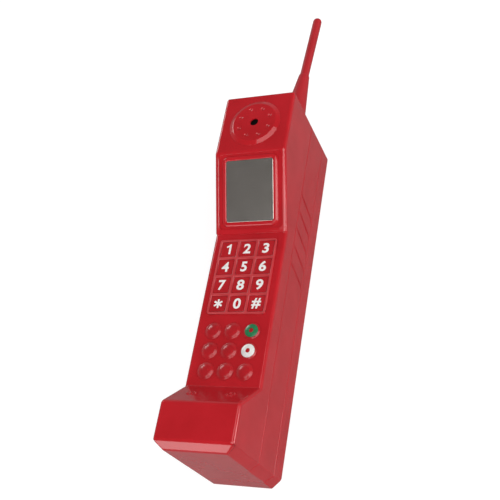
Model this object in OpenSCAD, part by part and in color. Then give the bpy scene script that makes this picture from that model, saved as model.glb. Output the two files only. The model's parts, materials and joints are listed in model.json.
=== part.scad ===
// Brick cell phone lying on its back, in millimetres.
// X runs across the phone, +Y towards the antenna and +Z out of the front.
// Lengths along the phone are measured from its bottom end, and seat() then puts
// the origin at the middle of the flat back.

/* [Body] */
// Width of the phone
body_w = 47.5; // [45:0.5:50]
// Height of the earpiece face and the chin above the back
front_h = 75; // [70:0.5:82]
// Height of the keypad face above the back
pad_h = 52; // [50:0.5:56]
// Height of the seam between the front and rear housings
seam_h = 38.5; // [36:0.5:39]
// Wall thickness of the housings
wall = 2; // [1.6:0.1:2.4]
// Radius along the long front edges and round the top
edge_r = 2; // [1:0.1:3]
// Bevel round the bottom end, measured along the phone
bevel_l = 4.3; // [3:0.1:5]
// Bevel round the bottom end, measured across it
bevel_w = 5; // [3:0.1:6]

/* [Chin] */
// Length of the chin's front face
chin_l = 25.8; // [22:0.2:32]
// Run of the chin's slope down to the keypad face
chin_run = 16.7; // [15:0.2:20]
// Distance of each sound port from the middle
port_x = 12; // [10:0.5:13]
// Radius of the ring of holes in a sound port
port_r = 2.4; // [1.8:0.1:3]
// Diameter of one sound hole
port_hole_d = 1; // [0.8:0.1:1.3]

/* [Earpiece] */
// Length of the earpiece face
head_l = 43.5; // [42:0.5:50]
// From the top end to the middle of the earpiece
ear_drop = 22.4; // [20:0.2:24]
// Diameter of the raised earpiece cap
cap_d = 34; // [30:0.5:36]
// Rise of the cap above the face
cap_rise = 1.4; // [1:0.1:2]
// Width of the cap's sloping flank
cap_flank = 2.7; // [2:0.1:4]
// Diameter of the sound hole in the middle
ear_hole_d = 5.4; // [3:0.2:7]
// Radius of the ring of dimples
dimple_ring_r = 10.6; // [9:0.2:11.4]
// Diameter of one dimple
dimple_d = 2.6; // [1.6:0.2:3]

/* [Screen] */
// Run of the screen's ramp along the phone
ramp_run = 46.1; // [45:0.2:52]
// Small step at the foot of the ramp
ramp_step = 0.8; // [0.4:0.1:1.5]
// Width of the screen glass
screen_w = 31.4; // [28:0.2:33]
// Length of the screen glass
screen_l = 38.4; // [34:0.2:40]
// How far the screen lies above the middle of the ramp
screen_lift = 0.8; // [0:0.1:1.2]
// Width of the raised bezel round the glass
bezel_w = 3; // [1.6:0.1:3.2]
// Rise of the bezel above the ramp
bezel_rise = 0.7; // [0.4:0.1:1.2]
// Depth of the channel in which the bezel sits
channel_depth = 0.7; // [0.4:0.1:0.9]
// Width of the channel beside the bezel
channel_w = 2.5; // [1:0.1:2.8]
// Width of the channel above and below the bezel
channel_end = 1.4; // [0.8:0.1:1.6]
// Radius of the glass's corners
glass_r = 1.2; // [0.6:0.1:2]
// Thickness of the screen glass
lens_t = 1.1; // [0.8:0.1:1.3]

/* [Number keys] */
// Margin beside the keypad frame
frame_side = 5; // [4:0.1:5.4]
// Width of the frame's border
frame_border = 1.4; // [1:0.1:2]
// Width of the ribs between keys
rib_w = 1.9; // [1.6:0.1:2.4]
// Length of one key's window
key_l = 10.4; // [9:0.2:12]
// Rise of the frame above the keypad face
frame_rise = 1.1; // [0.8:0.1:1.6]
// How far the key tops lie below the ribs
key_sink = 0.3; // [0.2:0.1:0.8]
// Gap between the frame and the foot of the ramp
frame_margin = 4.2; // [4:0.2:8]
// Travel of every key
key_travel = 1.2; // [0.8:0.1:1.4]

/* [Function keys] */
// Diameter of a round key at its foot
func_d = 11; // [10:0.2:11.2]
// Diameter of its domed top
func_top_d = 7; // [6.6:0.2:8]
// Rise of a round key above the face
func_rise = 1.5; // [1.4:0.1:2]
// Rise of its sloping flank
flank_rise = 1; // [0.6:0.1:1.2]
// Distance between rows
func_pitch = 12.4; // [12:0.2:14]
// From the foot of the chin's slope to the lowest row
func_foot = 9.2; // [8.8:0.2:12]
// From the highest row to the keypad frame
func_to_frame = 10.6; // [10.6:0.2:16]
// Diameter of the coloured rings
ring_d = 8.2; // [7:0.2:8.4]
// Diameter of the bare spot inside a ring
ring_hole_d = 2.8; // [2:0.2:3.6]

/* [Antenna] */
// Distance of the antenna from the middle
antenna_x = 13.3; // [11:0.1:14]
// Height of the antenna above the back
antenna_h = 47; // [46.5:0.5:55]
// Lean of the antenna to the side, in degrees
antenna_lean = 3.6; // [0:0.2:6]
// Diameter of the boot at its foot
boot_d = 14.6; // [13:0.2:16]
// Diameter of the boot at its tip
boot_tip_d = 7.2; // [6.8:0.1:8]
// Length of the boot
boot_l = 36.5; // [28:0.5:40]
// Diameter of the whip
whip_d = 6; // [4:0.1:6.2]
// Length of the whip beyond the boot
whip_l = 51.5; // [40:0.5:90]

/* [Grip] */
// Number of slanted louvres on each side
groove_count = 5; // [3:1:6]
// Distance between louvres
groove_pitch = 12.25; // [10:0.25:14]
// From the top end to the first louvre
groove_top = 53; // [40:0.5:60]
// How far a louvre runs down the phone as it crosses the side
groove_slant = 5.8; // [4:0.2:12]
// Width of a louvre
groove_w = 3.2; // [2:0.2:5]
// Depth of a louvre along its upper edge
groove_depth = 0.5; // [0.3:0.1:0.8]

/* [Battery] */
// Diameter of one cell
cell_d = 10.5; // [10:0.1:12]
// Length of one cell
cell_l = 44.5; // [42:0.5:48]
// Thickness of the pack's back
pack_floor = 1.8; // [1.2:0.1:2]
// Thickness of the pack's lid
lid_t = 2; // [1.2:0.1:2.2]
// Width of the rail's neck
rail_neck_w = 10; // [8:0.5:12]
// Width of the rail's head
rail_head_w = 16; // [15:0.5:18]
// Chamfer at both ends of the back
back_chamfer = 1.2; // [1:0.2:3]

/* [Boards] */
// Thickness of the circuit boards
board_t = 1.6; // [1.2:0.1:2]
// Thickness of the rubber keypad mat
mat_t = 0.8; // [0.6:0.1:1.2]
// Thickness of a key's retaining flange
flange_t = 1.4; // [1:0.1:1.6]
// Diameter of the self-tapping screws
screw_d = 2.6; // [2.2:0.1:2.8]

/* [Clearances] */
// Running gap round keys
key_fit = 0.15; // [0.1:0.05:0.25]
// Running gap of the battery's rail and seam
slide_fit = 0.15; // [0.1:0.05:0.25]
// Gap between pieces that are seated on each other
seat_gap = 0.05; // [0.02:0.01:0.1]
// Running gap of the antenna's stud
stud_fit = 0.05; // [0.03:0.01:0.1]
// Gap round screws and posts that pass through a board
board_fit = 0.1; // [0.05:0.05:0.2]

/* [Hidden] */
$fn = 48;
edge_steps = 5;
edge_lead = 0.2;
dome_steps = 8;
through = 1;

// Lengths along the phone
columns = 3;
rows = 4;
frame_l = rows * key_l + (rows - 1) * rib_w + 2 * frame_border;
pad_y = chin_l + chin_run;
func_y = pad_y + func_foot;
frame_y = func_y + (columns - 1) * func_pitch + func_to_frame;
ramp_y = frame_y + frame_l + frame_margin;
head_y = ramp_y + ramp_run;
body_l = head_y + head_l;
ear_y = body_l - ear_drop;

// Widths
half_w = body_w / 2;
frame_w = body_w - 2 * frame_side;
key_w = (frame_w - 2 * frame_border - (columns - 1) * rib_w) / columns;
key_pitch_x = key_w + rib_w;
key_pitch_y = key_l + rib_w;

// Slopes
ramp_foot_h = pad_h + ramp_step;
ramp_angle = atan2(front_h - ramp_foot_h, ramp_run);
ramp_l = norm([ramp_run, front_h - ramp_foot_h]);
screen_y = ramp_l / 2 + screen_lift;
slope_angle = atan2(pad_h - front_h, chin_run);
slope_l = norm([chin_run, front_h - pad_h]);

// Heights of the battery pack and the rear housing
pack_h = pack_floor + cell_d + lid_t + 2 * seat_gap + slide_fit;
pack_top = pack_h - slide_fit;
lid_h = pack_top - lid_t;
rear_floor_h = pack_h + wall;
rail_neck_h = rear_floor_h - pack_top - slide_fit;
rail_head_h = 1.6;
rail_cover = 1.6;
rail_top = pack_top + rail_neck_h + 2 * slide_fit + rail_head_h;
rail_top_gap = 4;
pack_top_wall = wall + back_chamfer / 2;
bevel_backing = 0.6;
end_wall = bevel_l + bevel_backing;

// Key stack, from the keypad face down to its board
key_drop = wall + key_fit;
flange_w = 0.5;
mat_nub_h = 0.4;
mat_nub_d = 4;
plunger_d = 3.2;
plunger_l = 2.95;
flange_h = pad_h - key_drop - flange_t;
plunger_h = flange_h - plunger_l;
travel_spare = 0.1;
mat_h = plunger_h - key_travel - travel_spare - mat_nub_h;
mat_inset = 0.5;
board_h = mat_h - mat_t - seat_gap;
board_end_gap = 0.6;
board_side_gap = 1;
board_tuck = 4;
board_y0 = pad_y - board_tuck;
board_y1 = ramp_y + wall - board_end_gap;
post_d = 4.4;
post_inset = 3.2;
post_x = half_w - wall - post_d / 2 - post_inset;
frame_to_func_y = (frame_y + func_y + (columns - 1) * func_pitch + func_d / 2) / 2;
post_end_gap = 0.6;
board_posts = [pad_y - post_end_gap, frame_to_func_y, ramp_y - post_end_gap];
board_bite = 3.2;

// Domed tops of the round keys, and the coloured rings between two of the dome's angles
dome_rise = func_rise - flank_rise;
dome_r = (func_top_d * func_top_d / 4 + dome_rise * dome_rise) / (2 * dome_rise);
dome_a = asin(func_top_d / 2 / dome_r);
func_flange_w = 0.4;
ring_t = 0.4;
ring_a0 = asin(ring_d / 2 / dome_r);
ring_a1 = asin(ring_hole_d / 2 / dome_r);

// Housing screws, in posts beside the side walls
tower_d = 6;
tower_bite = 0.4;
tower_x = half_w - wall - tower_d / 2 + tower_bite;
tower_low_gap = 9;
tower_high_gap = 6;
tower_ys = [end_wall + tower_low_gap, body_l - wall - tower_high_gap];
screw_head_d = 2 * screw_d;
screw_head_t = 1.6;
screw_head_sink = 1.2;
screw_reach = 7;
pilot_gap = 0.05;
pilot_spare = 0.8;

// Transceiver board, on posts in the rear housing
rf_drop = 8;
rf_h = seam_h - rf_drop;
rf_y0 = 40;
rf_l = 130;
rf_side_gap = 3.5;
rf_w = body_w - 2 * (wall + rf_side_gap);
rf_post_side = 3.5;
rf_post_end = 6;
rf_post_x = rf_w / 2 - rf_post_side;
rf_post_ys = [rf_y0 + rf_post_end, rf_y0 + rf_l - rf_post_end];
rf_bite = 5;
rf_top = rf_h + board_t + 2 * seat_gap;
shield_h = 5;
shield_t = 0.6;
shield_side = 1;
shield_inset = 12;
connector_w = 18;
connector_l = 6;

// Earpiece
ear_h = front_h - wall;
cap_sink = 0.8;
gasket_t = 1;
gasket_lip = 3;
capsule_d = 27;
capsule_h = 6;
magnet_d = 15;
magnet_h = 3;
cup_wall = 1.2;
cup_depth = 5;
cup_gap = 0.2;
dimple_count = 8;
dimple_depth = 0.6;
dimple_r = (dimple_d * dimple_d / 4 + dimple_depth * dimple_depth) / (2 * dimple_depth);
dimple_a = asin(dimple_d / 2 / dimple_r);
spout_fit = 0.1;
spout_sink = 0.9;

// Sound ports in the chin
boot_wall = 1.2;
mic_d = 9.6;
mic_h = 5;
ringer_d = 12;
ringer_h = 4.5;
port_boot_h = 6;
port_count = 6;

// Display module behind the screen's window
display_t = 4;
display_lap = 1;

// Antenna
collar_rise = 0.8;
collar_sink = 8;
stud_d = 4;
stud_in = 7;
stud_out = 12;
socket_d = 8;
whip_root = 14;

// Battery fittings
cell_columns = 3;
cell_rows = 4;
cell_gap = 1;
cell_pitch_x = cell_d + cell_gap;
cell_pitch_y = cell_l + cell_gap;
cell_y = body_l / 2 - (cell_rows - 1) * cell_pitch_y / 2;
tab_t = 0.4;
contact_y = 18;
contact_pitch = 8;
contact_w = 5;
contact_l = 9;
contact_t = 0.6;
spring_w = 3;
spring_t = 0.4;
spring_bend = 2;
spring_side = 0.6;
spring_reach = contact_l / 2 - spring_side;
block_w = 26;
block_l = 12;
block_h = 6;
block_cover = 1;
block_to_rail = 6;
rail_end_y = contact_y + block_l / 2 + block_to_rail;
rail_l = body_l - rail_end_y - rail_top_gap;
groove_gap = 1.2;

// Outline helpers

// Point where the line through p along d meets the line through q along e
function meet(p, d, q, e) =
    p + d * ((q[0] - p[0]) * e[1] - (q[1] - p[1]) * e[0]) / (d[0] * e[1] - d[1] * e[0]);

// Counterclockwise outline with edge i moved inwards by gaps[i]
function inset(pts, gaps) =
    let (n = len(pts))
    let (dirs = [for (i = [0:n - 1]) (pts[(i + 1) % n] - pts[i]) / norm(pts[(i + 1) % n] - pts[i])])
    let (starts = [for (i = [0:n - 1]) pts[i] + gaps[i] * [-dirs[i][1], dirs[i][0]]])
    [for (i = [0:n - 1]) let (h = (i + n - 1) % n) meet(starts[h], dirs[h], starts[i], dirs[i])];

// How far an edge of the given kind is drawn in at distance x from the middle
function edge_gap(kind, x) =
    kind == "round" ? edge_r - sqrt(edge_r * edge_r - pow(max(0, x - half_w + edge_r), 2)) :
    kind == "bevel" ? max(0, x - half_w + bevel_w) * bevel_l / bevel_w : 0;

// Distances from the middle at which the sides of a shell change direction
edge_xs = concat(
    [half_w - max(bevel_w, edge_r + edge_lead)],
    [for (i = [0:edge_steps]) half_w - edge_r + edge_r * sin(90 * i / edge_steps)]
);

// Solid with the given side outline, its edges drawn in towards both sides.
// pieces cuts the outline into convex pieces, by the numbers of its points.
module sided(pts, kinds, pieces) {
    n = len(pts);
    k = len(edge_xs);
    xs = concat([for (i = [k - 1:-1:0]) -edge_xs[i]], edge_xs);
    points = [for (x = xs) let (gaps = [for (kind = kinds) edge_gap(kind, abs(x))])
        for (p = inset(pts, gaps)) [x, p[0], p[1]]];
    skin = [for (i = [0:2 * k - 2]) for (j = [0:n - 1])
        [i * n + j, (i + 1) * n + j, (i + 1) * n + (j + 1) % n, i * n + (j + 1) % n]];
    high_cap = [for (piece = pieces) [for (j = [len(piece) - 1:-1:0]) (2 * k - 1) * n + piece[j]]];
    polyhedron(points, concat(skin, pieces, high_cap));
}

// Side outline drawn in the YZ plane and extruded across the phone
module across(width) {
    rotate([90, 0, 90]) linear_extrude(width, center = true) children();
}

// Box centred in X and Y, standing on z
module block(size, at, z) {
    translate([at[0] - size[0] / 2, at[1] - size[1] / 2, z]) cube(size);
}

// Flat rectangle with round corners, centred
module round_rect(w, l, r) {
    square([w - 2 * r, l], center = true);
    square([w, l - 2 * r], center = true);
    for (x = [-1, 1]) for (y = [-1, 1]) translate([x * (w / 2 - r), y * (l / 2 - r)]) circle(r);
}

// Outline round the screen glass, larger by the given margins across and along the phone
module screen_rect(side, end, r) {
    round_rect(screen_w + 2 * side, screen_l + 2 * end, r);
}

// Child coordinates on the ramp: y runs up the ramp from its foot, z out of it
module on_ramp() {
    translate([0, ramp_y, ramp_foot_h]) rotate([ramp_angle, 0, 0]) children();
}

// Child coordinates on the chin's slope: y runs down it from the top, z out of it
module on_slope() {
    translate([0, chin_l, front_h]) rotate([slope_angle, 0, 0]) children();
}

// Child coordinates on the antenna's axis: z runs out of the top end
module on_antenna() {
    translate([antenna_x, body_l, antenna_h]) rotate([-90, 0, -antenna_lean]) children();
}

// Everything is moved so that the origin is in the middle of the back
module seat() {
    translate([0, -body_l / 2, 0]) children();
}

// Outlines of the three shells

front_outline = [
    [0, seam_h], [body_l, seam_h], [body_l, front_h], [head_y, front_h], [ramp_y, ramp_foot_h],
    [ramp_y, pad_h], [pad_y, pad_h], [chin_l, front_h], [bevel_l, front_h], [0, front_h - bevel_w]
];
front_kinds = ["seam", "round", "round", "round", "round", "round", "round", "round", "round", "bevel"];
front_pieces = [[0, 6, 7, 8, 9], [0, 1, 5, 6], [1, 2, 3, 4, 5]];
cavity_outline = [
    [0, seam_h], [body_l, seam_h], [body_l, front_h], [head_y, front_h], [ramp_y, ramp_foot_h],
    [ramp_y, pad_h], [pad_y, pad_h], [chin_l, front_h], [0, front_h]
];
cavity_gaps = [-through, wall, wall, wall, wall, wall, wall, wall, end_wall];
rear_outline = [[0, pack_h], [body_l, pack_h], [body_l, seam_h], [0, seam_h]];
rear_kinds = ["seam", "round", "seam", "bevel"];
rear_pieces = [[0, 1, 2, 3]];
pack_outline = [
    [back_chamfer, 0], [body_l - back_chamfer, 0], [body_l, back_chamfer], [body_l, pack_top],
    [0, pack_top], [0, back_chamfer]
];
pack_kinds = ["round", "round", "round", "seam", "bevel", "bevel"];
pack_pieces = [[0, 1, 2, 3, 4, 5]];

// Places of the keys

function key_at(column, row) = [
    (column - 1) * key_pitch_x,
    frame_y + frame_l - frame_border - key_l / 2 - row * key_pitch_y
];
// Round keys are counted from 1, along each row and from the highest row down
function func_at(index) = [
    ((index - 1) % columns - 1) * key_pitch_x,
    func_y + (columns - 1 - floor((index - 1) / columns)) * func_pitch
];

module at_keys() {
    for (row = [0:rows - 1]) for (column = [0:columns - 1]) translate(key_at(column, row)) children();
}

module at_funcs() {
    for (index = [1:columns * columns]) translate(func_at(index)) children();
}

// Ring of sound holes through the chin's slope
module sound_port() {
    for (i = [0:port_count - 1]) rotate(i * 360 / port_count) translate([port_r, 0]) circle(d = port_hole_d);
    circle(d = port_hole_d);
}

// Housings

module front_shell() {
    difference() {
        sided(front_outline, front_kinds, front_pieces);
        across(body_w - 2 * wall) polygon(inset(cavity_outline, cavity_gaps));
    }
}

module at_towers(z) {
    for (x = [-tower_x, tower_x]) for (y = tower_ys) translate([x, y, z]) children();
}

module at_board_posts(z) {
    for (x = [-post_x, post_x]) for (y = board_posts) translate([x, y, z]) children();
}

module at_rf_posts(z) {
    for (x = [-rf_post_x, rf_post_x]) for (y = rf_post_ys) translate([x, y, z]) children();
}

module pilot_hole(depth) {
    cylinder(d = screw_d + 2 * pilot_gap, h = depth);
}

module front_housing() color("crimson") difference() {
    union() {
        front_shell();
        at_towers(seam_h) cylinder(d = tower_d, h = front_h - wall / 2 - seam_h);
        at_board_posts(mat_h - mat_t) cylinder(d = post_d, h = pad_h - wall / 2 - mat_h + mat_t);
        translate([0, ear_y, ear_h - cup_depth]) difference() {
            cylinder(d = capsule_d + 2 * (cup_gap + cup_wall), h = cup_depth + wall / 2);
            translate([0, 0, -through]) cylinder(d = capsule_d + 2 * cup_gap, h = cup_depth + through);
        }
        on_antenna() translate([0, 0, -collar_sink]) cylinder(d = boot_d, h = collar_sink + collar_rise);
    }
    // Pilot holes
    at_towers(seam_h - through) pilot_hole(through + screw_reach + pilot_spare);
    at_board_posts(mat_h - mat_t - through) pilot_hole(through + board_bite + pilot_spare);
    // Earpiece seat and sound hole
    translate([0, ear_y, front_h - cap_sink]) cylinder(d = cap_d + 2 * seat_gap, h = cap_sink + through);
    translate([0, ear_y, ear_h - through]) cylinder(d = ear_hole_d, h = wall + through);
    // Screen channel and window
    on_ramp() translate([0, screen_y, -channel_depth]) linear_extrude(channel_depth + 2 * through)
        screen_rect(bezel_w + channel_w, bezel_w + channel_end, bezel_w);
    on_ramp() block([screen_w - 2 * bezel_w, screen_l - 2 * bezel_w, 2 * wall + through],
        [0, screen_y], -2 * wall);
    // Opening for the keypad frame and holes for the round keys
    block([frame_w - 2 * flange_w + 2 * seat_gap, frame_l - 2 * flange_w + 2 * seat_gap, wall + 2 * through],
        [0, frame_y + frame_l / 2], pad_h - wall - through);
    translate([0, 0, pad_h - wall - through]) at_funcs()
        cylinder(d = func_d + 2 * key_fit, h = wall + 2 * through);
    // Sound ports
    for (x = [-port_x, port_x]) on_slope() translate([x, slope_l / 2, -wall - through])
        linear_extrude(wall + 2 * through) sound_port();
    // Antenna socket
    on_antenna() translate([0, 0, -collar_sink - through])
        cylinder(d = socket_d + 2 * seat_gap, h = collar_sink + collar_rise + 2 * through);
}

// Slanted wedges, each deepest along its upper edge
module grip_grooves() {
    ends = [[pack_h + groove_gap, -groove_slant], [seam_h - groove_gap, 0]];
    cut = [[-groove_depth, 0], [groove_depth, 0], [groove_depth, -2 * groove_w]];
    faces = [[0, 2, 1], [3, 4, 5], [0, 1, 4, 3], [1, 2, 5, 4], [2, 0, 3, 5]];
    turned = [for (face = faces) [for (j = [len(face) - 1:-1:0]) face[j]]];
    for (side = [-1, 1]) for (i = [0:groove_count - 1])
        translate([side * half_w, body_l - groove_top - i * groove_pitch, 0]) polyhedron(
            [for (end = ends) for (p = cut) [side * p[0], p[1] + end[1], end[0]]], side > 0 ? faces : turned);
}

module rear_housing() color("crimson") difference() {
    union() {
        difference() {
            sided(rear_outline, rear_kinds, rear_pieces);
            translate([-half_w + wall, end_wall, rear_floor_h])
                cube([body_w - 2 * wall, body_l - end_wall - wall, seam_h - rear_floor_h + through]);
        }
        at_towers(pack_h) cylinder(d = tower_d, h = seam_h - pack_h);
        at_rf_posts(pack_h + wall / 2) cylinder(d = post_d, h = rf_h - pack_h - wall / 2);
        // Cover over the battery's slot
        translate([-rail_head_w / 2 - rail_cover, rail_end_y - rail_cover - slide_fit, pack_h]) cube([
            rail_head_w + 2 * rail_cover, body_l - rail_end_y + slide_fit,
            rail_top + slide_fit + rail_cover - pack_h
        ]);
    }
    // Slot for the battery's rail, open at the top end
    translate([-rail_neck_w / 2 - slide_fit, rail_end_y - slide_fit, pack_h - through])
        cube([rail_neck_w + 2 * slide_fit, body_l, wall + 2 * through]);
    translate([-rail_head_w / 2 - slide_fit, rail_end_y - slide_fit, rear_floor_h])
        cube([rail_head_w + 2 * slide_fit, body_l, rail_top + slide_fit - rear_floor_h]);
    // Housing screws with their heads sunk into the back
    at_towers(pack_h - through) {
        pilot_hole(seam_h);
        cylinder(d = screw_head_d + 2 * seat_gap, h = through + screw_head_sink + screw_head_t);
    }
    at_rf_posts(rf_h - rf_bite - pilot_spare) pilot_hole(rf_bite + pilot_spare + through);
    // Window for the contact springs
    block([2 * contact_pitch + contact_w, contact_l, wall + 2 * through], [0, contact_y], pack_h - through);
    grip_grooves();
}

// Battery pack

// Room inside the pack's walls, drawn in by gap
module pack_room(gap, height) {
    translate([-half_w + wall + gap, end_wall + gap, 0])
        cube([body_w - 2 * (wall + gap), body_l - end_wall - pack_top_wall - 2 * gap, height]);
}

module battery_case() color("crimson") difference() {
    sided(pack_outline, pack_kinds, pack_pieces);
    translate([0, 0, pack_floor]) pack_room(0, pack_top);
}

module battery_lid() color("firebrick") difference() {
    union() {
        translate([0, 0, lid_h]) pack_room(seat_gap, lid_t);
        translate([-rail_neck_w / 2, rail_end_y, lid_h]) cube([rail_neck_w, rail_l, rail_top - lid_h]);
        translate([-rail_head_w / 2, rail_end_y, rail_top - rail_head_h])
            cube([rail_head_w, rail_l, rail_head_h]);
    }
    for (i = [-1:1]) block([contact_w + 2 * seat_gap, contact_l + 2 * seat_gap, contact_t + through],
        [i * contact_pitch, contact_y], pack_top - contact_t - seat_gap);
}

module battery_cells() color("steelblue")
    for (i = [0:cell_columns - 1]) for (j = [0:cell_rows - 1])
        translate([(i - 1) * cell_pitch_x, cell_y + j * cell_pitch_y, pack_floor + seat_gap + cell_d / 2])
            rotate([90, 0, 0]) cylinder(d = cell_d, h = cell_l, center = true);

// Nickel strips between the ends of neighbouring cells
module cell_tabs() color("silver")
    for (j = [0:cell_rows])
        translate([0, cell_y + (j - 0.5) * cell_pitch_y, pack_floor + seat_gap + cell_d / 2])
            cube([2 * cell_pitch_x + cell_d / 2, tab_t, cell_d / 2], center = true);

module battery_contacts() color("gold")
    for (i = [-1:1])
        block([contact_w, contact_l, contact_t], [i * contact_pitch, contact_y], pack_top - contact_t);

module contact_block() color("dimgray") difference() {
    block([block_w, block_l, block_h], [0, contact_y], rear_floor_h + seat_gap);
    for (i = [-1:1]) block([spring_w + 2 * seat_gap, 2 * (spring_reach + seat_gap), block_h + 2 * through],
        [i * contact_pitch, contact_y], rear_floor_h - through);
}

// Bent strips that press on the battery's contacts
module contact_springs() color("gold")
    for (i = [-1:1]) translate([i * contact_pitch, contact_y, 0]) across(spring_w) {
        top = rear_floor_h + block_h - block_cover;
        low = pack_top + seat_gap;
        bend = low + spring_bend;
        inner = spring_reach - spring_t;
        polygon([
            [-spring_reach, top], [-spring_reach, bend], [0, low], [spring_reach, bend], [spring_reach, top],
            [inner, top], [inner, bend + spring_t], [0, low + spring_t], [-inner, bend + spring_t],
            [-inner, top]
        ]);
    }

// Screen

module screen_bezel() color("crimson") on_ramp() translate([0, screen_y, -channel_depth]) difference() {
    linear_extrude(channel_depth + bezel_rise) screen_rect(bezel_w, bezel_w, bezel_w);
    translate([0, 0, -through]) linear_extrude(channel_depth + bezel_rise + 2 * through)
        screen_rect(seat_gap, seat_gap, glass_r);
}

module screen_lens() color("dimgray") on_ramp() translate([0, screen_y, seat_gap - channel_depth])
    linear_extrude(lens_t) screen_rect(0, 0, glass_r);

module display_module() color("darkslategray") on_ramp()
    block([screen_w + 2 * display_lap, screen_l + 2 * display_lap, display_t],
        [0, screen_y], -wall - display_t - seat_gap);

// Keypad

module frame_windows() {
    at_keys() square([key_w, key_l], center = true);
}

module keypad_frame() color("crimson") {
    translate([0, 0, pad_h]) linear_extrude(frame_rise) difference() {
        translate([0, frame_y + frame_l / 2]) round_rect(frame_w, frame_l, frame_border);
        frame_windows();
    }
    translate([0, 0, pad_h - wall]) linear_extrude(wall) difference() {
        translate([0, frame_y + frame_l / 2])
            square([frame_w - 2 * flange_w, frame_l - 2 * flange_w], center = true);
        frame_windows();
    }
}

module plunger() {
    translate([0, 0, plunger_h]) cylinder(d = plunger_d, h = plunger_l + flange_t / 2);
}

module number_key(column, row) color("firebrick") translate(key_at(column, row)) {
    w = key_w - 2 * key_fit;
    l = key_l - 2 * key_fit;
    block([w, l, frame_rise - key_sink + key_drop + flange_t / 2], [0, 0], flange_h + flange_t / 2);
    block([w + 2 * flange_w, l + 2 * flange_w, flange_t], [0, 0], flange_h);
    plunger();
}

// Outline of the dome between two angles from its axis, drawn in by gap
function dome(gap, a0, a1) = [for (i = [0:dome_steps]) let (a = a0 + (a1 - a0) * i / dome_steps)
    [(dome_r - gap) * sin(a), func_rise - dome_r + (dome_r - gap) * cos(a)]];

// Ring that follows the dome from one depth below it to another
module ring_shape(top, depth) {
    rotate_extrude() polygon(concat(dome(top, ring_a0, ring_a1), dome(depth, ring_a1, ring_a0)));
}

module function_key(index, ringed = false) color("crimson") translate(func_at(index)) {
    flange = [
        [0, -key_drop - flange_t], [func_d / 2 + func_flange_w, -key_drop - flange_t],
        [func_d / 2 + func_flange_w, -key_drop], [func_d / 2, -key_drop], [func_d / 2, 0]
    ];
    translate([0, 0, pad_h]) difference() {
        rotate_extrude() polygon(concat(flange, dome(0, dome_a, 0)));
        if (ringed) ring_shape(-through, ring_t + seat_gap);
    }
    plunger();
}

module key_ring(index, tint) color(tint)
    translate(func_at(index)) translate([0, 0, pad_h]) ring_shape(0, ring_t);

module board_outline(gap) {
    difference() {
        translate([-half_w + wall + board_side_gap + gap, board_y0 + gap])
            square([body_w - 2 * (wall + board_side_gap + gap), board_y1 - board_y0 - 2 * gap]);
        children();
    }
}

module keypad_mat() color("gray") {
    translate([0, 0, mat_h - mat_t]) linear_extrude(mat_t) board_outline(mat_inset)
        at_board_posts(0) circle(d = post_d + 2 * board_fit);
    translate([0, 0, mat_h - mat_t / 2]) {
        at_keys() cylinder(d = mat_nub_d, h = mat_nub_h + mat_t / 2);
        at_funcs() cylinder(d = mat_nub_d, h = mat_nub_h + mat_t / 2);
    }
}

module keypad_board() color("darkgreen")
    translate([0, 0, board_h - board_t]) linear_extrude(board_t) board_outline(0)
        at_board_posts(0) circle(d = screw_d + 2 * board_fit);

// Earpiece

// Shallow round dish, its lowest point at z 0
module dish() {
    rotate_extrude() polygon(concat(
        [for (i = [0:dome_steps]) let (a = dimple_a * i / dome_steps) dimple_r * [sin(a), 1 - cos(a)]],
        [[dimple_d / 2, dimple_depth + through], [0, dimple_depth + through]]
    ));
}

module earpiece_cap() color("crimson") translate([0, ear_y, front_h]) difference() {
    rotate_extrude() polygon([
        [ear_hole_d / 2, seat_gap - cap_sink], [cap_d / 2, seat_gap - cap_sink], [cap_d / 2, 0],
        [cap_d / 2 - cap_flank, cap_rise], [ear_hole_d / 2, cap_rise]
    ]);
    for (i = [0:dimple_count - 1]) rotate((i + 0.5) * 360 / dimple_count)
        translate([dimple_ring_r, 0, cap_rise - dimple_depth]) dish();
}

module earpiece_gasket() color("dimgray") translate([0, ear_y, ear_h - gasket_t]) difference() {
    cylinder(d = capsule_d, h = gasket_t - seat_gap);
    translate([0, 0, -through]) cylinder(d = capsule_d - 2 * gasket_lip, h = gasket_t + 2 * through);
}

module earpiece_capsule() color("darkgray") translate([0, ear_y, ear_h - gasket_t - seat_gap]) {
    translate([0, 0, -capsule_h]) cylinder(d = capsule_d, h = capsule_h);
    translate([0, 0, -capsule_h - magnet_h]) cylinder(d = magnet_d, h = magnet_h + capsule_h / 2);
    // Spout in the sound hole
    translate([0, 0, -capsule_h / 2]) cylinder(d = ear_hole_d - 2 * spout_fit,
        h = capsule_h / 2 + gasket_t + seat_gap + wall + cap_rise - spout_sink);
}

// Microphone and ringer behind the chin's two sound ports

module behind_port(side) {
    on_slope() translate([side * port_x, slope_l / 2, -wall - seat_gap]) rotate([180, 0, 0]) children();
}

module microphone_boot() color("dimgray") behind_port(-1) difference() {
    cylinder(d = mic_d + 2 * boot_wall, h = port_boot_h);
    translate([0, 0, boot_wall]) cylinder(d = mic_d + 2 * seat_gap, h = port_boot_h);
    translate([0, 0, -through]) cylinder(d = 2 * port_r + port_hole_d, h = port_boot_h);
}

module microphone() color("silver") behind_port(-1)
    translate([0, 0, boot_wall + seat_gap]) cylinder(d = mic_d, h = mic_h);

module ringer_gasket() color("dimgray") behind_port(1) difference() {
    cylinder(d = ringer_d, h = boot_wall);
    translate([0, 0, -through]) cylinder(d = 2 * port_r + port_hole_d, h = boot_wall + 2 * through);
}

module ringer() color("dimgray") behind_port(1)
    translate([0, 0, boot_wall + seat_gap]) cylinder(d = ringer_d, h = ringer_h);

// Antenna

module antenna_socket() color("goldenrod") on_antenna() difference() {
    translate([0, 0, -collar_sink]) cylinder(d = socket_d, h = collar_sink + collar_rise);
    translate([0, 0, -collar_sink - through])
        cylinder(d = stud_d + 2 * stud_fit, h = collar_sink + collar_rise + 2 * through);
}

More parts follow.
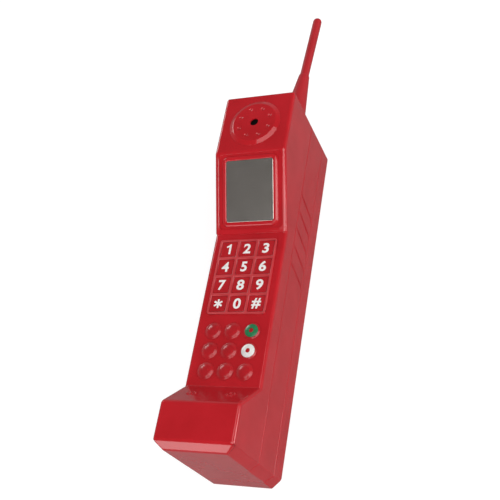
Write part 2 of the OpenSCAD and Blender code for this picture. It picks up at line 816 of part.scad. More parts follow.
module antenna_stud() color("goldenrod") on_antenna()
    translate([0, 0, -stud_in]) cylinder(d = stud_d, h = stud_in + stud_out);

module antenna_boot() color("crimson") on_antenna() difference() {
    translate([0, 0, collar_rise + slide_fit])
        cylinder(d1 = boot_d, d2 = boot_tip_d, h = boot_l - collar_rise - slide_fit);
    cylinder(d = stud_d + 2 * seat_gap, h = stud_out + seat_gap);
    translate([0, 0, whip_root - seat_gap]) cylinder(d = whip_d + 2 * seat_gap, h = boot_l);
}

module antenna_whip() color("crimson") on_antenna() {
    translate([0, 0, whip_root]) cylinder(d = whip_d, h = boot_l + whip_l - whip_d / 2 - whip_root);
    translate([0, 0, boot_l + whip_l - whip_d / 2]) sphere(d = whip_d);
}

// Transceiver

module transceiver_board() color("darkgreen")
    translate([0, 0, rf_h + seat_gap]) linear_extrude(board_t) difference() {
        translate([-rf_w / 2, rf_y0]) square([rf_w, rf_l]);
        at_rf_posts(0) circle(d = screw_d + 2 * board_fit);
    }

module shield_can() color("silver") {
    w = rf_w - 2 * shield_side;
    l = rf_l - 2 * shield_inset;
    y = rf_y0 + rf_l / 2;
    difference() {
        block([w, l, shield_h], [0, y], rf_top);
        block([w - 2 * shield_t, l - 2 * shield_t, shield_h], [0, y], rf_top - shield_t);
    }
}

// Stacking connector between the two boards
module board_connector() color("black")
    block([connector_w, connector_l, board_h - board_t - rf_top - seat_gap], [0, rf_post_ys[0]], rf_top);

// Fasteners

module screw(length) {
    cylinder(d = screw_head_d, h = screw_head_t);
    cylinder(d = screw_d, h = length);
}

module housing_screws() color("silver")
    at_towers(pack_h + screw_head_sink) screw(seam_h - pack_h - screw_head_sink + screw_reach);

module board_screws() color("silver") {
    through_board = screw_head_t + board_t + 2 * seat_gap;
    at_board_posts(mat_h - mat_t - through_board) screw(through_board + board_bite);
    at_rf_posts(rf_h + through_board) mirror([0, 0, 1]) screw(through_board + rf_bite);
}

seat() front_housing();
seat() rear_housing();
seat() battery_case();
seat() battery_lid();
seat() battery_cells();
seat() cell_tabs();
seat() battery_contacts();
seat() contact_block();
seat() contact_springs();
seat() screen_bezel();
seat() screen_lens();
seat() display_module();
seat() keypad_frame();
seat() number_key(0, 0);  // key_1
seat() number_key(1, 0);  // key_2
seat() number_key(2, 0);  // key_3
seat() number_key(0, 1);  // key_4
seat() number_key(1, 1);  // key_5
seat() number_key(2, 1);  // key_6
seat() number_key(0, 2);  // key_7
seat() number_key(1, 2);  // key_8
seat() number_key(2, 2);  // key_9
seat() number_key(0, 3);  // key_star
seat() number_key(1, 3);  // key_0
seat() number_key(2, 3);  // key_hash
seat() function_key(1);  // function_key_1
seat() function_key(2);  // function_key_2
seat() function_key(3, true);  // function_key_3
seat() function_key(4);  // function_key_4
seat() function_key(5);  // function_key_5
seat() function_key(6, true);  // function_key_6
seat() function_key(7);  // function_key_7
seat() function_key(8);  // function_key_8
seat() function_key(9);  // function_key_9
seat() key_ring(3, "seagreen");  // green_ring
seat() key_ring(6, "white");  // white_ring
seat() keypad_mat();
seat() keypad_board();
seat() earpiece_cap();
seat() earpiece_gasket();
seat() earpiece_capsule();
seat() microphone();
seat() microphone_boot();
seat() ringer();
seat() ringer_gasket();
seat() antenna_boot();
seat() antenna_whip();
seat() antenna_stud();
seat() antenna_socket();
seat() transceiver_board();
seat() shield_can();
seat() board_connector();
seat() housing_screws();
seat() board_screws();
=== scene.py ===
import json
import math

import bmesh
import bpy
from mathutils import Matrix, Vector
from mathutils.bvhtree import BVHTree


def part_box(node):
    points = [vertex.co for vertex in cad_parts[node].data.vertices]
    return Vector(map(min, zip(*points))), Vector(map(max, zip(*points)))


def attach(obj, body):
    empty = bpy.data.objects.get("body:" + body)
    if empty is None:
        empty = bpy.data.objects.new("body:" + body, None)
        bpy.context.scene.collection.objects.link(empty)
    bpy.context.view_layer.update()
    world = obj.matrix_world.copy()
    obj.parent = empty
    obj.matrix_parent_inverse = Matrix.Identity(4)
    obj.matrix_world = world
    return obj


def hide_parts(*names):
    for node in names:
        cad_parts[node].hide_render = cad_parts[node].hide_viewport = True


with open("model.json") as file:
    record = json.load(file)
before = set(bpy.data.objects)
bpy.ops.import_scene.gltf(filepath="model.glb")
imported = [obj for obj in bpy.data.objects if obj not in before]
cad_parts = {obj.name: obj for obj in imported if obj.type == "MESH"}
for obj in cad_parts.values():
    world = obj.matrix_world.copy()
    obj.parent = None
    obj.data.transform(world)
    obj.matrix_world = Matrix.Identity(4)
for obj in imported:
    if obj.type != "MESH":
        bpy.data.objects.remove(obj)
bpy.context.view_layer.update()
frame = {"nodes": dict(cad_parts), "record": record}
NODES = frame["nodes"]
BODY_OF = {node: body for body, nodes in frame["record"]["behaviour"]["bodies"].items() for node in nodes}
SLOT_OF = {row["node"]: row["material_slot"] for row in frame["record"]["subparts"]}

# Sizes, in millimetres, in the frame of the part
MM = 0.001
BOTTOM_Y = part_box("front_housing")[0].y / MM
TOP_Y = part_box("rear_housing")[1].y / MM
SEAM_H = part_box("front_housing")[0].z / MM
FRONT_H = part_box("front_housing")[1].z / MM
PAD_H = 52.0
BEVEL_L = 4.3
BEVEL_W = 5.0
CHIN_Y = BOTTOM_Y + 25.8
PAD_Y = BOTTOM_Y + 42.5
RAMP_Y = BOTTOM_Y + 141.4
HEAD_Y = BOTTOM_Y + 187.5
RAMP_FOOT_H = PAD_H + 0.8
RAMP_ANGLE = math.atan2(FRONT_H - RAMP_FOOT_H, HEAD_Y - RAMP_Y)
RAMP_L = math.hypot(FRONT_H - RAMP_FOOT_H, HEAD_Y - RAMP_Y)
SLOPE_NORMAL = Vector((0, FRONT_H - PAD_H, PAD_Y - CHIN_Y)).normalized()
SCREEN_W = 31.4
SCREEN_L = 38.4
SCREEN_LIFT = 0.8
GLASS_R = 1.2
FRAME_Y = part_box("keypad_frame")[0].y / MM

NUMBER_KEYS = ["key_1", "key_2", "key_3", "key_4", "key_5", "key_6", "key_7", "key_8", "key_9", "key_star",
               "key_0", "key_hash"]
FUNCTION_KEYS = [f"function_key_{i}" for i in range(1, 10)]
RINGED_KEYS = ("function_key_3", "function_key_6")
LEGENDS = dict(zip(NUMBER_KEYS, "123456789*0#"))


# Small helpers

def centre(node):
    """Middle of a CAD node's box, in millimetres."""
    low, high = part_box(node)
    return (low + high) / (2 * MM)


def link(obj):
    bpy.context.scene.collection.objects.link(obj)
    return obj


def mesh_of(name, bm):
    """Mesh made from bm, which is freed."""
    mesh = bpy.data.meshes.new(name)
    bm.to_mesh(mesh)
    bm.free()
    return mesh


def stand_for(obj, node, material):
    """The piece rides on the node's body, stands for it and takes the given material."""
    obj.data.materials.clear()
    obj.data.materials.append(material)
    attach(obj, BODY_OF[node])
    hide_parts(node)


def mesh_object(name, bm, sharp_angle):
    """Object made from bm, smooth but for edges sharper than the angle. Coordinates are in millimetres."""
    bmesh.ops.scale(bm, vec=(MM, MM, MM), verts=bm.verts)
    bmesh.ops.recalc_face_normals(bm, faces=bm.faces)
    mesh = mesh_of(name, bm)
    mesh.polygons.foreach_set("use_smooth", [True] * len(mesh.polygons))
    mesh.set_sharp_from_angle(angle=math.radians(sharp_angle))
    return link(bpy.data.objects.new(name, mesh))


# Rounded copies of CAD nodes: radii in millimetres, angles in degrees

LARGEST_R = 4.0
LEAST_ANGLE = 22.0
SMOOTH_ANGLE = 38.0
EDGE_WEIGHT = "bevel_weight_edge"


def outer_faces(bm, hidden):
    """Faces from which a ray along the normal leaves the piece, but for those that hidden() names."""
    ray_start = 1e-5
    tree = BVHTree.FromBMesh(bm)
    found = set()
    for face in bm.faces:
        point = face.calc_center_median()
        if hidden(point / MM, face.normal):
            continue
        if tree.ray_cast(point + face.normal * ray_start, face.normal)[0] is None:
            found.add(face)
    return found


def soften(obj, largest, segments):
    """Rounds the edges by their weights, of which 1 is the largest radius, and smooths the shading."""
    obj.data.polygons.foreach_set("use_smooth", [True] * len(obj.data.polygons))
    obj.data.set_sharp_from_angle(angle=math.radians(SMOOTH_ANGLE))
    bevel = obj.modifiers.new("round", "BEVEL")
    bevel.limit_method = "WEIGHT"
    bevel.width = largest * MM
    bevel.segments = segments
    bevel.use_clamp_overlap = False
    bevel.miter_outer = "MITER_ARC"
    normals = obj.modifiers.new("normals", "WEIGHTED_NORMAL")
    normals.keep_sharp = True


def rounded(node, name, radius, hidden=lambda point, normal: False, segments=3, least_angle=LEAST_ANGLE):
    """Copy of a CAD node whose outer edges are rounded: radius(edge middle, edge direction, angle) in mm."""
    same_point, same_plane = 2e-6, 0.4
    bm = bmesh.new()
    bm.from_mesh(NODES[node].data)
    bmesh.ops.remove_doubles(bm, verts=bm.verts, dist=same_point)
    bmesh.ops.dissolve_limit(bm, angle_limit=math.radians(same_plane), verts=bm.verts, edges=bm.edges)
    bm.normal_update()
    outer = outer_faces(bm, hidden)
    weight = bm.edges.layers.float.new(EDGE_WEIGHT)
    for edge in bm.edges:
        if len(edge.link_faces) != 2 or not all(face in outer for face in edge.link_faces):
            continue
        angle = math.degrees(edge.calc_face_angle())
        if angle < least_angle:
            continue
        a, b = (v.co / MM for v in edge.verts)
        edge[weight] = min(1.0, radius((a + b) / 2, (b - a).normalized(), angle) / LARGEST_R)
    obj = link(bpy.data.objects.new(name, mesh_of(name, bm)))
    soften(obj, LARGEST_R, segments)
    return obj


def even(node, name, radius, material, segments=3, least_angle=LEAST_ANGLE):
    """Copy of a CAD node with one rounding on all its outer edges."""
    obj = rounded(node, name, lambda middle, direction, angle: radius, segments=segments,
                  least_angle=least_angle)
    stand_for(obj, node, material)


# Lofted pieces

def bridge(bm, rings, same_point):
    """Faces between rings of points, each ring closed on itself. Points nearer than same_point are joined."""
    verts = [[bm.verts.new(point) for point in ring] for ring in rings]
    count = len(verts[0])
    for near, far in zip(verts, verts[1:]):
        for i in range(count):
            j = (i + 1) % count
            bm.faces.new((near[i], near[j], far[j], far[i]))
    bmesh.ops.remove_doubles(bm, verts=bm.verts, dist=same_point)


def rounded_rect(w, l, r, z, place, steps):
    """Ring of points round a rectangle with round corners, centred on the place's Z axis."""
    points = []
    for quarter, (sx, sy) in enumerate(((1, 1), (-1, 1), (-1, -1), (1, -1))):
        for i in range(steps + 1):
            a = math.radians(90 * (quarter + i / steps))
            x = sx * (w / 2 - r) + r * math.cos(a)
            y = sy * (l / 2 - r) + r * math.sin(a)
            points.append(place @ Vector((x, y, z)))
    return points


def revolve(bm, profile, place, steps):
    """Revolved skin. profile lists (radius, z) points; a radius of 0 closes the skin there."""
    least_r = 0.0005
    turns = [2 * math.pi * i / steps for i in range(steps)]
    rings = []
    for r, z in profile:
        r = max(r, least_r)
        rings.append([place @ Vector((r * math.cos(a), r * math.sin(a), z)) for a in turns])
    bridge(bm, rings, same_point=0.002)


# Materials

def shader_of(name):
    """New material with its nodes, links and shader."""
    material = bpy.data.materials.new(name)
    material.use_nodes = True
    tree = material.node_tree
    return material, tree.nodes, tree.links, tree.nodes["Principled BSDF"]


def noise(nodes, links, scale, detail, stretch):
    coords = nodes.new("ShaderNodeTexCoord")
    mapping = nodes.new("ShaderNodeMapping")
    mapping.inputs["Scale"].default_value = stretch
    texture = nodes.new("ShaderNodeTexNoise")
    texture.inputs["Scale"].default_value = scale
    texture.inputs["Detail"].default_value = detail
    links.new(coords.outputs["Object"], mapping.inputs["Vector"])
    links.new(mapping.outputs["Vector"], texture.inputs["Vector"])
    return texture.outputs["Fac"]


def ramp(nodes, links, source, stops):
    """Colour ramp from source. stops lists (position, colour)."""
    node = nodes.new("ShaderNodeValToRGB")
    elements = node.color_ramp.elements
    while len(elements) < len(stops):
        elements.new(0.5)
    for element, (position, colour) in zip(elements, stops):
        element.position = position
        element.color = (*colour, 1)
    links.new(source, node.inputs["Fac"])
    return node.outputs["Color"]


def spread(nodes, links, source, low, high):
    """Maps the middle of a noise to the range low to high."""
    node = nodes.new("ShaderNodeMapRange")
    node.inputs["From Min"].default_value = 0.3
    node.inputs["From Max"].default_value = 0.7
    node.inputs["To Min"].default_value = low
    node.inputs["To Max"].default_value = high
    links.new(source, node.inputs["Value"])
    return node.outputs["Result"]


def bump(nodes, links, shader, height, strength, distance):
    """Fine relief, its distance in millimetres."""
    node = nodes.new("ShaderNodeBump")
    node.inputs["Strength"].default_value = strength
    node.inputs["Distance"].default_value = distance * MM
    links.new(height, node.inputs["Height"])
    links.new(node.outputs["Normal"], shader.inputs["Normal"])


def finish_of(name, dark, light, rough, patch, grain, relief, metallic=0.0, ior=1.5, stretch=(1, 1, 1)):
    """Mottled finish: two colours in patches, a roughness range and a fine relief."""
    dark_to, light_from = 0.32, 0.68
    material, nodes, links, shader = shader_of(name)
    patches = noise(nodes, links, patch, detail=4.0, stretch=stretch)
    colour = ramp(nodes, links, patches, [(dark_to, dark), (light_from, light)])
    links.new(colour, shader.inputs["Base Color"])
    fine = noise(nodes, links, grain, detail=3.0, stretch=stretch)
    links.new(spread(nodes, links, fine, *rough), shader.inputs["Roughness"])
    bump(nodes, links, shader, fine, relief, distance=0.05)
    shader.inputs["Metallic"].default_value = metallic
    shader.inputs["IOR"].default_value = ior
    return material


def satin_slope(material, extra):
    """The chin's slope, told by its direction, is rougher than the rest by the extra amount."""
    least_cosine = 0.99
    nodes, links = material.node_tree.nodes, material.node_tree.links
    roughness = nodes["Principled BSDF"].inputs["Roughness"]
    fine = roughness.links[0].from_socket
    coords = nodes.new("ShaderNodeTexCoord")
    facing = nodes.new("ShaderNodeVectorMath")
    facing.operation = "DOT_PRODUCT"
    facing.inputs[1].default_value = SLOPE_NORMAL
    mask = nodes.new("ShaderNodeMath")
    mask.operation = "GREATER_THAN"
    mask.inputs[1].default_value = least_cosine
    total = nodes.new("ShaderNodeMath")
    total.operation = "MULTIPLY_ADD"
    total.inputs[1].default_value = extra
    links.new(coords.outputs["Normal"], facing.inputs[0])
    links.new(facing.outputs["Value"], mask.inputs[0])
    links.new(mask.outputs[0], total.inputs[0])
    links.new(fine, total.inputs[2])
    links.new(total.outputs[0], roughness)


RED = finish_of("red_gloss", (0.42, 0.008, 0.013), (0.49, 0.011, 0.018),
                rough=(0.06, 0.11), patch=45, grain=420, relief=0.02)
satin_slope(RED, extra=0.12)
KEY_RED = finish_of("red_keys", (0.38, 0.008, 0.013), (0.45, 0.010, 0.016),
                    rough=(0.16, 0.21), patch=60, grain=420, relief=0.01)
ANTENNA_RED = finish_of("red_antenna", (0.40, 0.008, 0.013), (0.46, 0.011, 0.018),
                        rough=(0.42, 0.5), patch=30, grain=60, relief=0.02)
# Keypad frame: a separate moulding in a lighter, pinker red than the housing. The extra pink is also painted
# sheen for the light that the raised ribs catch.
FRAME_RED_AND_SHEEN = finish_of("red_frame_and_sheen", (0.47, 0.03, 0.037), (0.52, 0.036, 0.043),
                      rough=(0.3, 0.38), patch=60, grain=420, relief=0.03)
LID_RED = finish_of("red_lid", (0.22, 0.006, 0.01), (0.28, 0.008, 0.012),
                    rough=(0.35, 0.5), patch=60, grain=900, relief=0.2)
GREEN = finish_of("green_paint", (0.014, 0.15, 0.055), (0.025, 0.2, 0.08),
                  rough=(0.15, 0.25), patch=300, grain=900, relief=0.1)
WHITE = finish_of("white_paint", (0.72, 0.70, 0.67), (0.82, 0.81, 0.79),
                  rough=(0.2, 0.3), patch=300, grain=900, relief=0.1)
GLASS = finish_of("grey_mirror", (0.74, 0.68, 0.62), (0.8, 0.74, 0.68),
                  rough=(0.1, 0.14), patch=90, grain=700, relief=0.01, metallic=1.0)
BLACK = finish_of("black_plastic", (0.012, 0.012, 0.013), (0.025, 0.025, 0.027),
                  rough=(0.4, 0.6), patch=120, grain=900, relief=0.2)
RUBBER = finish_of("rubber", (0.02, 0.02, 0.022), (0.04, 0.04, 0.043),
                   rough=(0.6, 0.8), patch=150, grain=900, relief=0.3)
BOARD = finish_of("board", (0.006, 0.06, 0.028), (0.012, 0.1, 0.045),
                  rough=(0.3, 0.4), patch=260, grain=1200, relief=0.15)
NICKEL = finish_of("nickel", (0.5, 0.49, 0.46), (0.66, 0.64, 0.6),
                   rough=(0.22, 0.36), patch=200, grain=700, relief=0.1, metallic=1.0, stretch=(1, 0.1, 1))
GOLD = finish_of("gold_plate", (0.75, 0.5, 0.17), (0.85, 0.62, 0.26),
                 rough=(0.18, 0.3), patch=300, grain=900, relief=0.05, metallic=1.0)
BRASS = finish_of("brass", (0.6, 0.4, 0.14), (0.72, 0.5, 0.2),
                  rough=(0.2, 0.32), patch=300, grain=900, relief=0.05, metallic=1.0)
STEEL = finish_of("zinc_steel", (0.5, 0.5, 0.5), (0.64, 0.64, 0.63),
                  rough=(0.25, 0.4), patch=300, grain=900, relief=0.1, metallic=1.0)
INK = finish_of("white_ink", (0.78, 0.77, 0.75), (0.86, 0.85, 0.83),
                rough=(0.3, 0.45), patch=300, grain=900, relief=0.05)
# Dust cloth behind the earpiece hole, made darker than any cloth, so it also stands in as painted shade deep
# inside the hole.
CLOTH_AND_SHADE = finish_of("dust_cloth_and_shade", (0.002, 0.002, 0.002), (0.005, 0.005, 0.005),
                  rough=(0.8, 0.9), patch=400, grain=900, relief=0.2, ior=1.1)
WRAP = finish_of("cell_wrap", (0.02, 0.09, 0.22), (0.03, 0.13, 0.3),
                 rough=(0.25, 0.35), patch=120, grain=900, relief=0.05)

MATERIAL_OF_SLOT = {
    "housing_red": RED, "key_red": KEY_RED, "ring_green": GREEN, "ring_white": WHITE,
    "antenna_rubber": ANTENNA_RED, "screen_glass": GLASS, "lid_plastic": LID_RED, "cell_wrap": WRAP,
    "nickel": NICKEL, "gold_contact": GOLD, "brass": BRASS, "black_plastic": BLACK, "mat_rubber": RUBBER,
    "board_green": BOARD, "screw_steel": STEEL,
}
for node, obj in NODES.items():
    obj.data.materials.clear()
    # The earpiece capsule gets the near-black cloth, which is painted shade for the earpiece hole.
    obj.data.materials.append(CLOTH_AND_SHADE if node == "earpiece_capsule" else MATERIAL_OF_SLOT[SLOT_OF[node]])


# Characters for the number keys

def glyph(name, character):
    """Mesh of one bold, slightly slanted character of the built-in font."""
    curve = bpy.data.curves.new(name, "FONT")
    curve.body = character
    curve.size = 1.0
    curve.shear = 0.02
    curve.offset = 0.022
    curve.bevel_depth = 0.008
    curve.bevel_resolution = 0
    text = link(bpy.data.objects.new(name, curve))
    mesh = bpy.data.meshes.new_from_object(text.evaluated_get(bpy.context.evaluated_depsgraph_get()))
    bpy.data.objects.remove(text)
    bpy.data.curves.remove(curve)
    return mesh


def flat_shape(name, points):
    """Mesh of one flat face with the given outline."""
    bm = bmesh.new()
    bm.faces.new([bm.verts.new(point) for point in points])
    return mesh_of(name, bm)


def star(name, reach, width):
    """Mesh of a six-armed star: two corners at each arm's end and one between the arms."""
    points = []
    for k in range(6):
        turn = Matrix.Rotation(math.radians(90 + 60 * k), 3, "Z")
        half_turn = Matrix.Rotation(math.radians(120 + 60 * k), 3, "Z")
        points.append(turn @ Vector((reach, -width / 2, 0)))
        points.append(turn @ Vector((reach, width / 2, 0)))
        points.append(half_turn @ Vector((width, 0, 0)))
    return flat_shape(name, points)


def figure_one(name, height):
    """Mesh of the figure one with its flag, drawn in shares of its height."""
    stem = [(0.0, 0.0), (0.19, 0.0), (0.19, 1.0), (0.05, 1.0)]
    flag = [(-0.03, 0.9), (-0.13, 0.84), (-0.24, 0.8), (-0.24, 0.64), (-0.12, 0.67), (0.0, 0.73)]
    return flat_shape(name, [(x * height, y * height, 0) for x, y in stem + flag])


GLYPHS = {}
for node, character in LEGENDS.items():
    if character not in "*1":
        GLYPHS[node] = glyph(f"legend_{node}", character)


# Housings: how near to the seam's height an edge belongs to it, and how far a face has to lean to count as
# one that looks up or down

SEAM_NEAR = 0.1
TILT = 0.1


def seam_radius(direction):
    """The seams show on the sides and close up on the bottom end."""
    across, side_r = 0.9, 0.45
    return 0.0 if abs(direction.x) > across else side_r


def front_radius(middle, direction, angle):
    """Rounding of the front housing's edges, by where they are."""
    corners = [
        (BOTTOM_Y, FRONT_H - BEVEL_W, 0.9), (BOTTOM_Y + BEVEL_L, FRONT_H, 1.0), (CHIN_Y, FRONT_H, 1.2),
        (PAD_Y, PAD_H, 0.4), (RAMP_Y, PAD_H, 0.35), (RAMP_Y, RAMP_FOOT_H, 0.35), (HEAD_Y, FRONT_H, 0.7),
        (TOP_Y, FRONT_H, 1.1),
    ]
    across, reach = 0.55, 3.4
    holes_low, holes_high, hole_r = PAD_Y + 2, FRAME_Y - 1, 0.03
    side_angle, side_r = 30, 0.35
    if abs(direction.x) > across:
        for y, z, r in corners:
            if math.hypot(middle.y - y, middle.z - z) < reach:
                return r
    if middle.z < SEAM_H + SEAM_NEAR:
        return seam_radius(direction)
    if holes_low < middle.y < holes_high:
        return hole_r
    return side_r if angle > side_angle else 0.0


def rear_radius(middle, direction, angle):
    """Rounding of the edges of the rear housing and the battery."""
    return seam_radius(direction)


def front_hidden(point, normal):
    """Faces inside the front housing, which look down."""
    return normal.z < -TILT and point.z > SEAM_H + SEAM_NEAR


def rear_hidden(point, normal):
    """Faces inside the rear housing, which look up."""
    return normal.z > TILT and point.z < SEAM_H - SEAM_NEAR


stand_for(rounded("front_housing", "front_shell", front_radius, front_hidden), "front_housing", RED)
stand_for(rounded("rear_housing", "rear_shell", rear_radius, rear_hidden), "rear_housing", RED)
stand_for(rounded("battery_case", "battery_shell", rear_radius), "battery_case", RED)


# Screen, sound ports, earpiece, keypad and antenna

def add_bezel():
    """Ridge with a round top along all four sides of the glass. section lists (distance out, height)."""
    place = (Matrix.Translation((0, RAMP_Y, RAMP_FOOT_H)) @ Matrix.Rotation(RAMP_ANGLE, 4, "X")
             @ Matrix.Translation((0, RAMP_L / 2 + SCREEN_LIFT, 0)))
    section = [(0.08, -0.65), (0.08, 0.4), (0.18, 0.56), (0.42, 0.66), (0.9, 0.7), (1.4, 0.69),
               (1.8, 0.62), (2.2, 0.46), (2.55, 0.2), (2.8, -0.1), (2.95, -0.4), (3.0, -0.65)]
    rings = []
    for out, z in section:
        w, l = SCREEN_W + 2 * out, SCREEN_L + 2 * out
        rings.append(rounded_rect(w, l, GLASS_R + out, z, place, steps=8))
    bm = bmesh.new()
    bridge(bm, rings + rings[:1], same_point=0.001)
    stand_for(mesh_object("bezel", bm, sharp_angle=50), "screen_bezel", RED)


def add_port_rims():
    """Small raised rims round the holes of the two sound ports in the chin's slope."""
    port_x, port_r, count = 12.0, 2.4, 6
    section = [(0.5, -0.4), (0.5, 0.1), (0.56, 0.2), (0.68, 0.25), (0.8, 0.2), (0.9, 0.08),
               (0.95, -0.05), (0.95, -0.4)]
    along = Vector((0, PAD_Y - CHIN_Y, PAD_H - FRONT_H)).normalized()
    turn = Matrix((Vector((1, 0, 0)), along, SLOPE_NORMAL)).transposed().to_4x4()
    middle = Vector((0, (CHIN_Y + PAD_Y) / 2, (FRONT_H + PAD_H) / 2))
    spots = [(0.0, 0.0)]
    for i in range(count):
        angle = 2 * math.pi * i / count
        spots.append((port_r * math.cos(angle), port_r * math.sin(angle)))
    bm = bmesh.new()
    for side in (-1, 1):
        for x, y in spots:
            place = Matrix.Translation(middle) @ turn @ Matrix.Translation((side * port_x + x, y, 0))
            revolve(bm, section + section[:1], place, steps=20)
    obj = mesh_object("port_rims", bm, sharp_angle=50)
    obj.data.materials.append(RED)
    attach(obj, BODY_OF["front_housing"])


def cap_radius(middle, direction, angle):
    """Rounding of the earpiece cap: wide round its top, small at its foot, the hole and the dimples."""
    foot_from, foot_r = 15.5, 0.1
    rim_from, rim_r = 13.6, 0.4
    hole_r = 0.15
    at = centre("earpiece_cap")
    out = math.hypot(middle.x - at.x, middle.y - at.y)
    if out > foot_from:
        return foot_r
    return rim_r if out > rim_from else hole_r


def add_key_frame():
    """Frame of ribs round the number keys: a grid of cells without the windows, its edges rounded."""
    border, rib, corner, soft, tuck = 1.4, 1.9, 2.2, 0.5, 1.0
    near, level, corner_angle = 0.01, 0.5, 1
    low, high = (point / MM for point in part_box("keypad_frame"))
    key_w = (high.x - low.x - 2 * border - 2 * rib) / 3
    key_l = (high.y - low.y - 2 * border - 3 * rib) / 4
    xs, ys = [low.x], [low.y]
    for lines, size, count in ((xs, key_w, 3), (ys, key_l, 4)):
        lines.append(lines[0] + border)
        for i in range(count):
            lines.append(lines[-1] + size)
            lines.append(lines[-1] + (rib if i < count - 1 else border))
    bm = bmesh.new()
    weight = bm.edges.layers.float.new(EDGE_WEIGHT)
    layers = [[[bm.verts.new((x, y, z)) for y in ys] for x in xs] for z in (low.z + tuck, high.z)]
    lower, upper = layers
    kept = {(i, j) for i in range(len(xs) - 1) for j in range(len(ys) - 1) if i % 2 == 0 or j % 2 == 0}
    for i, j in kept:
        for layer in layers:
            bm.faces.new((layer[i][j], layer[i + 1][j], layer[i + 1][j + 1], layer[i][j + 1]))
        for (di, dj), (a, b) in (((0, -1), ((i, j), (i + 1, j))), ((1, 0), ((i + 1, j), (i + 1, j + 1))),
                                 ((0, 1), ((i + 1, j + 1), (i, j + 1))), ((-1, 0), ((i, j + 1), (i, j)))):
            if (i + di, j + dj) not in kept:
                bm.faces.new((lower[a[0]][a[1]], lower[b[0]][b[1]], upper[b[0]][b[1]], upper[a[0]][a[1]]))
    bmesh.ops.delete(bm, geom=[v for v in bm.verts if not v.link_faces], context="VERTS")
    bmesh.ops.recalc_face_normals(bm, faces=bm.faces)

    def on_border(co):
        return min(co.x - low.x, high.x - co.x, co.y - low.y, high.y - co.y) < near

    for edge in bm.edges:
        flat = [face for face in edge.link_faces if abs(face.normal.z) > level]
        top = all(v.co.z > high.z - near for v in edge.verts)
        outer = all(on_border(v.co) for v in edge.verts)
        if top and len(flat) == 1:
            edge[weight] = soft / corner
        elif outer and not flat and edge.calc_face_angle() > corner_angle:
            edge[weight] = 1.0
    bmesh.ops.scale(bm, vec=(MM, MM, MM), verts=bm.verts)
    obj = link(bpy.data.objects.new("key_frame", mesh_of("key_frame", bm)))
    soften(obj, corner, segments=4)
    stand_for(obj, "keypad_frame", FRAME_RED_AND_SHEEN)


# The round keys' domes: (radius, slope) points from the middle to the foot
RINGED_DOME = [(0.0, 0.0), (3.4, 0.283), (3.6, 0.283), (4.1, 0.54), (5.0, 0.54)]
PLAIN_DOME = [(0.0, 0.0), (3.0, 0.25), (3.25, 0.25), (3.85, 0.54), (4.8, 0.54), (5.1, 0.1)]


def slope_at(dome, r):
    """Slope of a dome at a radius, between its listed points."""
    for (r0, s0), (r1, s1) in zip(dome, dome[1:]):
        if r <= r1:
            return s0 + (s1 - s0) * (r - r0) / (r1 - r0)
    return dome[-1][1]


def add_round_key(node, ringed):
    """Round key turned about its axis: low dome, flank that flows into the face, flange and plunger."""
    dome = RINGED_DOME if ringed else PLAIN_DOME
    step, foot_r, dome_r = 0.1, 5.6, dome[-1][0]
    ring_in, ring_out, ring_depth = 1.35, 4.15, 0.25
    drop, flange_t, flange_r, plunger_r = 2.15, 1.4, 5.9, 1.6
    count = round(dome_r / step)
    falls = [slope_at(dome, (i + 0.5) * step) * step for i in range(count)]
    profile = []
    for i in range(count):
        r, z = i * step, sum(falls[i:])
        profile.append((r, z - ring_depth if ringed and ring_in < r < ring_out else z))
    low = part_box(node)[0].z / MM - PAD_H
    profile += [(dome_r, 0.0), (foot_r, 0.0), (foot_r, -drop),
                (flange_r, -drop), (flange_r, -drop - flange_t),
                (plunger_r, -drop - flange_t), (plunger_r, low), (0.0, low)]
    at = centre(node)
    bm = bmesh.new()
    revolve(bm, profile, Matrix.Translation((at.x, at.y, PAD_H)), steps=64)
    stand_for(mesh_object(f"{node}_cap", bm, sharp_angle=20), node, KEY_RED)


def add_legends():
    """White characters printed on the number keys."""
    height, lift = 6.8, 0.02
    star_reach, star_width = 2.9, 1.15
    wider = {figure: 1.08 for figure in "023689"}
    meshes = dict(GLYPHS)
    tall = meshes["key_0"].vertices
    scale = height / (max(v.co.y for v in tall) - min(v.co.y for v in tall))
    meshes["key_star"] = star("legend_key_star", star_reach / scale, star_width / scale)
    meshes["key_1"] = figure_one("legend_key_1", height / scale)
    for node, mesh in meshes.items():
        xs, ys = ([v.co[i] for v in mesh.vertices] for i in (0, 1))
        middle = Vector(((min(xs) + max(xs)) / 2, (min(ys) + max(ys)) / 2, 0))
        for v in mesh.vertices:
            v.co = (v.co - middle) * scale * MM
            v.co.x *= wider.get(LEGENDS[node], 1.0)
        obj = link(bpy.data.objects.new(mesh.name, mesh))
        low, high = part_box(node)
        obj.location = ((low.x + high.x) / 2, (low.y + high.y) / 2, high.z + lift * MM)
        mesh.materials.clear()
        mesh.materials.append(INK)
        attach(obj, BODY_OF[node])


add_bezel()
add_port_rims()
even("screen_lens", "lens", 0.15, GLASS)
stand_for(rounded("earpiece_cap", "ear_cap", cap_radius, least_angle=16), "earpiece_cap", RED)
add_key_frame()
for node in NUMBER_KEYS:
    even(node, f"{node}_cap", 0.35, KEY_RED)
for node in FUNCTION_KEYS:
    add_round_key(node, node in RINGED_KEYS)
even("green_ring", "green_print", 0.1, GREEN, segments=2)
even("white_ring", "white_print", 0.1, WHITE, segments=2)
even("antenna_boot", "boot", 0.5, ANTENNA_RED)
even("antenna_whip", "whip", 0.3, ANTENNA_RED, least_angle=40)
add_legends()


# Stage, light and camera

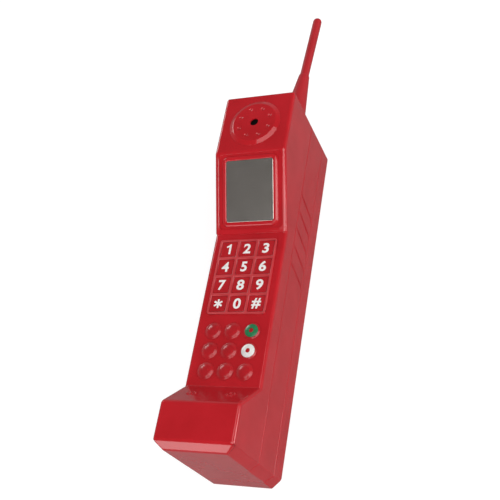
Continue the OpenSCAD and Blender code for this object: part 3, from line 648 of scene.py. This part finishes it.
def stage_floor():
    """Pale floor that keeps the shadow and shows white to the camera."""
    half_side, grey, rough = 4000, 0.3, 0.9
    shown = (("Is Camera Ray", 0.8), ("Is Glossy Ray", 0.05), ("Is Transmission Ray", 0.05))
    bm = bmesh.new()
    bmesh.ops.create_grid(bm, x_segments=1, y_segments=1, size=half_side)
    floor = mesh_object("floor", bm, sharp_angle=35)
    material, nodes, links, shader = shader_of("floor_white")
    shader.inputs["Base Color"].default_value = (grey, grey, grey, 1)
    shader.inputs["Roughness"].default_value = rough
    glow = nodes.new("ShaderNodeEmission")
    path = nodes.new("ShaderNodeLightPath")
    both = nodes.new("ShaderNodeAddShader")
    total = None
    for ray, share in shown:
        part = nodes.new("ShaderNodeMath")
        part.operation = "MULTIPLY_ADD"
        part.inputs[1].default_value = share
        part.inputs[2].default_value = 0.0
        links.new(path.outputs[ray], part.inputs[0])
        if total:
            links.new(total, part.inputs[2])
        total = part.outputs[0]
    links.new(total, glow.inputs["Strength"])
    links.new(shader.outputs["BSDF"], both.inputs[0])
    links.new(glow.outputs["Emission"], both.inputs[1])
    links.new(both.outputs["Shader"], nodes["Material Output"].inputs["Surface"])
    floor.data.materials.append(material)


def studio_world():
    """Pale studio walls up to a third of the height, and a grey ceiling."""
    greys = [(0.0, 0.5), (0.3, 0.45), (0.62, 0.16), (1.0, 0.14)]
    world = bpy.data.worlds.new("studio")
    bpy.context.scene.world = world
    world.use_nodes = True
    nodes, links = world.node_tree.nodes, world.node_tree.links
    coords = nodes.new("ShaderNodeTexCoord")
    split = nodes.new("ShaderNodeSeparateXYZ")
    links.new(coords.outputs["Generated"], split.inputs["Vector"])
    sky = ramp(nodes, links, split.outputs["Z"], [(height, (grey, grey, grey)) for height, grey in greys])
    links.new(sky, nodes["Background"].inputs["Color"])


def softbox(name, direction, distance, size, power, along):
    """Area lamp that looks at the middle of the phone from a direction, its long side along a line."""
    middle_h = 50
    lamp = bpy.data.lights.new(name, "AREA")
    lamp.shape = "RECTANGLE"
    lamp.size, lamp.size_y = (side * MM for side in size)
    lamp.energy = power
    obj = link(bpy.data.objects.new(name, lamp))
    towards = Vector(direction).normalized()
    side = (Vector(along) - Vector(along).dot(towards) * towards).normalized()
    turn = Matrix((side, towards.cross(side), towards)).transposed()
    place = Vector((0, 0, middle_h * MM)) + towards * distance * MM
    obj.matrix_world = Matrix.Translation(place) @ turn.to_4x4()


def photo_camera():
    """Camera fitted to the photograph: direction, roll and focal length."""
    azimuth, elevation, roll = math.radians(40.49), math.radians(53.03), math.radians(-36.4)
    distance = 509.92
    target = Vector((-0.58, 17.09, 47.47))
    back = Vector((math.sin(azimuth) * math.cos(elevation), -math.cos(azimuth) * math.cos(elevation),
                   math.sin(elevation)))
    right = Vector((0, 0, 1)).cross(back).normalized()
    up = back.cross(right)
    rolled_right = math.cos(roll) * right + math.sin(roll) * up
    rolled_up = math.cos(roll) * up - math.sin(roll) * right
    camera = bpy.data.cameras.new("camera")
    camera.sensor_width = 36.0
    camera.lens = 59.78
    camera.clip_start = 0.01
    obj = link(bpy.data.objects.new("camera", camera))
    turn = Matrix((rolled_right, rolled_up, back)).transposed()
    obj.matrix_world = Matrix.Translation((target + distance * back) * MM) @ turn.to_4x4()
    bpy.context.scene.camera = obj


stage_floor()
studio_world()
softbox("overhead", (0.18, -0.16, 0.97), distance=900, size=(1200, 400), power=3.3, along=(0.7, 0.71, 0))
softbox("left_back", (-0.7, 0.565, 0.43), distance=900, size=(290, 290), power=1.3, along=(0.6, 0.75, 0))
softbox("low_front", (-0.43, -0.88, 0.16), distance=900, size=(760, 500), power=3.9, along=(1, 0, 0))
softbox("right_fill", (0.97, -0.1, 0.13), distance=900, size=(600, 300), power=3.2, along=(0, 1, 0))
softbox("front", (0.6, -0.25, 0.7), distance=1500, size=(750, 750), power=9.5, along=(0.76, 0.65, 0))
photo_camera()
bpy.context.scene.view_settings.view_transform = "Standard"
